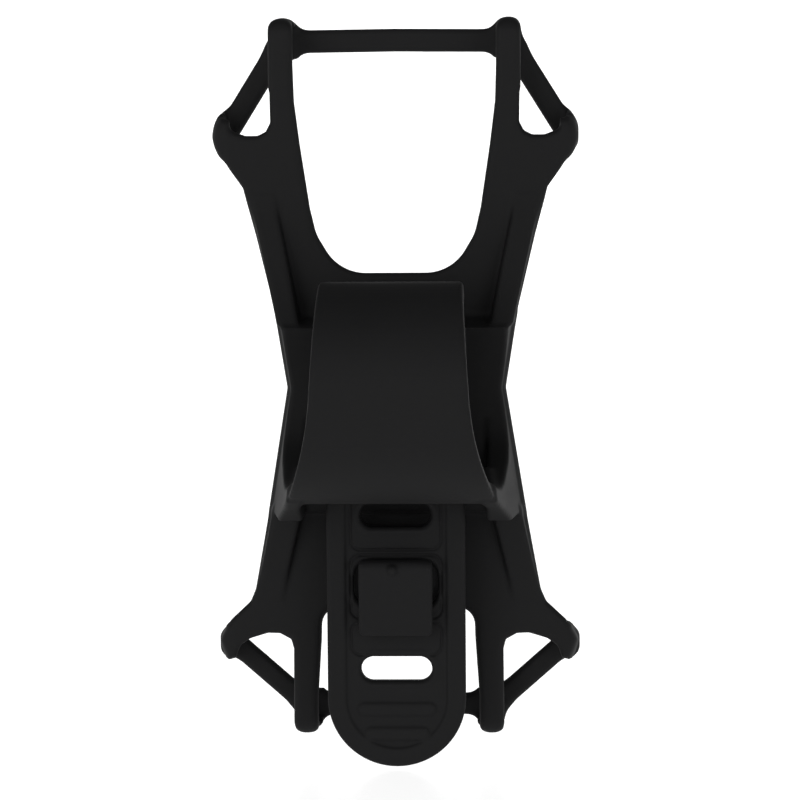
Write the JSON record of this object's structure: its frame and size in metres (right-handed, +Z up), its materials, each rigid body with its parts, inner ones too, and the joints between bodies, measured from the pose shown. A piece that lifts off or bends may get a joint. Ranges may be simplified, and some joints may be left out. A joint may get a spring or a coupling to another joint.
{
  "type": "bicycle phone mount",
  "caption": "Silicone bicycle phone holder: corner loops round the phone, a saddle block on the handlebar and a strap with holes through a slot onto a moulded hook.",
  "frame": {"origin": "on the handlebar's axis, in the middle of the holder's width", "axes": "+X along the handlebar, to the right seen from behind the holder; +Y towards the phone; +Z up towards the phone's top"},
  "size_m": [0.0724, 0.052, 0.1473],
  "materials": {
    "silicone": "matte"
  },
  "bodies": {
    "core": {"back_plate": "silicone", "saddle_block": "silicone", "slot_floor": "silicone", "slot_leg_right": "silicone", "slot_leg_left": "silicone", "leg_rib_right": "silicone", "leg_rib_left": "silicone", "strap_root_panel": "silicone", "strap_front_run": "silicone", "strap_crown": "silicone", "strap_return_run": "silicone", "strap_tongue": "silicone", "hook_neck": "silicone", "hook_head": "silicone", "hook_dot": "silicone"},
    "upper_harness": {"upper_web": "silicone", "top_front_band": "silicone", "upper_arm_right": "silicone", "upper_arm_left": "silicone", "arm_rib_right": "silicone", "arm_rib_left": "silicone", "top_finger_right": "silicone", "top_finger_left": "silicone", "upper_side_finger_right": "silicone", "upper_side_finger_left": "silicone", "upper_corner_band_right": "silicone", "upper_corner_band_left": "silicone"},
    "lower_harness": {"bottom_front_band": "silicone", "lower_arm_right": "silicone", "lower_arm_left": "silicone", "bottom_finger_right": "silicone", "bottom_finger_left": "silicone", "lower_side_finger_right": "silicone", "lower_side_finger_left": "silicone", "lower_corner_band_right": "silicone", "lower_corner_band_left": "silicone"},
    "strap_tab": {"strap_tab": "silicone"},
    "strap_grip": {"strap_grip": "silicone", "grip_ribs": "silicone"},
    "hook_lip": {"hook_lip": "silicone"}
  },
  "joints": [
    {"name": "upper_harness_fold", "type": "hinge", "parent": "core", "child": "upper_harness", "pos_m": [0, 0.0218, 0.0166], "axis": [-1, 0, 0], "range_deg": [-25, 80], "stiffness_Nm_per_rad": 0.15},
    {"name": "lower_harness_fold", "type": "hinge", "parent": "core", "child": "lower_harness", "pos_m": [0, 0.0218, -0.045], "axis": [1, 0, 0], "range_deg": [-18, 80], "stiffness_Nm_per_rad": 0.1},
    {"name": "strap_tab_lift", "type": "hinge", "parent": "core", "child": "strap_tab", "pos_m": [0, 0.012, -0.0489], "axis": [-1, 0, 0], "range_deg": [-8, 60], "stiffness_Nm_per_rad": 0.05},
    {"name": "strap_grip_curl", "type": "hinge", "parent": "strap_tab", "child": "strap_grip", "pos_m": [0, 0.012, -0.0586], "axis": [-1, 0, 0], "range_deg": [-5, 37]},
    {"name": "hook_lip_flex", "type": "hinge", "parent": "core", "child": "hook_lip", "pos_m": [0, 0.0083, -0.0412], "axis": [-1, 0, 0], "range_deg": [0, 30], "stiffness_Nm_per_rad": 0.05}
  ],
  "couplings": [
    {"joint": "strap_grip_curl", "follows": "strap_tab_lift", "ratio": 0.6}
  ]
}
